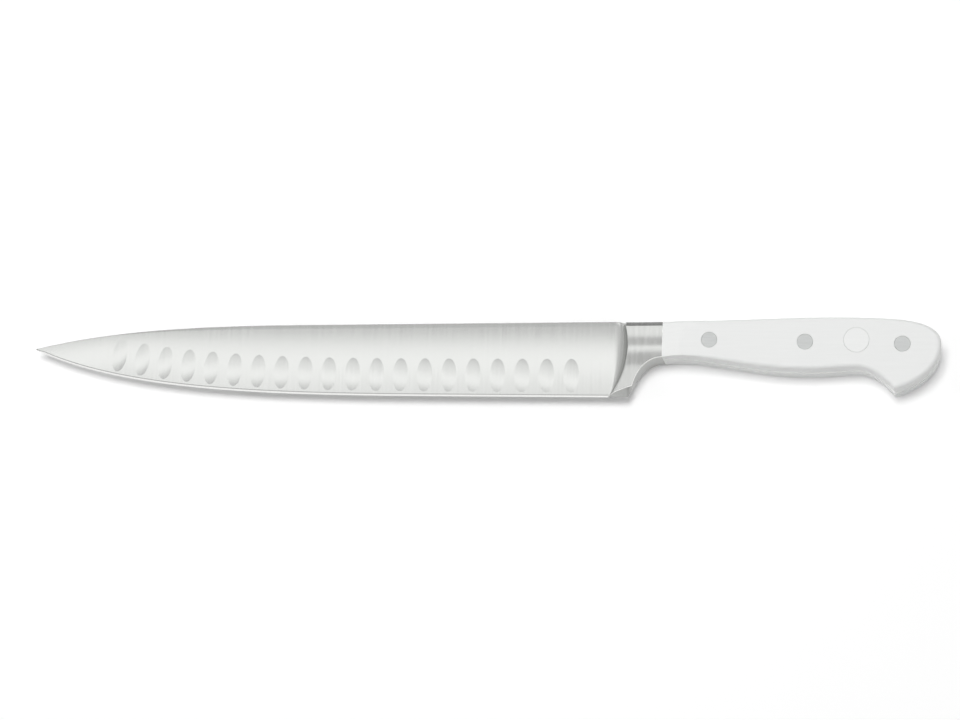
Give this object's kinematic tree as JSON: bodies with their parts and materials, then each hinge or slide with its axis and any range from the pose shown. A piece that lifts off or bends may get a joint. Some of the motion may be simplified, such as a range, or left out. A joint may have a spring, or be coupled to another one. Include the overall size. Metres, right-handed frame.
{
  "type": "ham slicing knife",
  "caption": "Forged ham-slicing knife: long blade with oval hollows above the edge, full bolster with finger guard, and white scales riveted to a full tang.",
  "frame": {"origin": "under the middle of the knife's box, on the surface that its right cheek lies on", "axes": "the knife lies on its right side: +X towards the butt of the handle, +Y towards the spine, +Z out of the left side of blade and handle"},
  "size_m": [0.3516, 0.029, 0.0172],
  "materials": {
    "blade_steel": "fine satin, ground across the bolster",
    "scale_plastic": "polished white acetal plastic",
    "rivet_steel": "ground flush, fine satin",
    "inlay_plastic": "polished white acetal plastic, unmarked"
  },
  "bodies": {
    "root": {"blade_forging": "blade_steel", "left_scale": "scale_plastic", "right_scale": "scale_plastic", "front_rivet_sleeve": "rivet_steel", "front_rivet_pin": "rivet_steel", "middle_rivet_sleeve": "rivet_steel", "middle_rivet_pin": "rivet_steel", "rear_rivet_sleeve": "rivet_steel", "rear_rivet_pin": "rivet_steel", "inlay_disc": "inlay_plastic"}
  },
  "joints": []
}
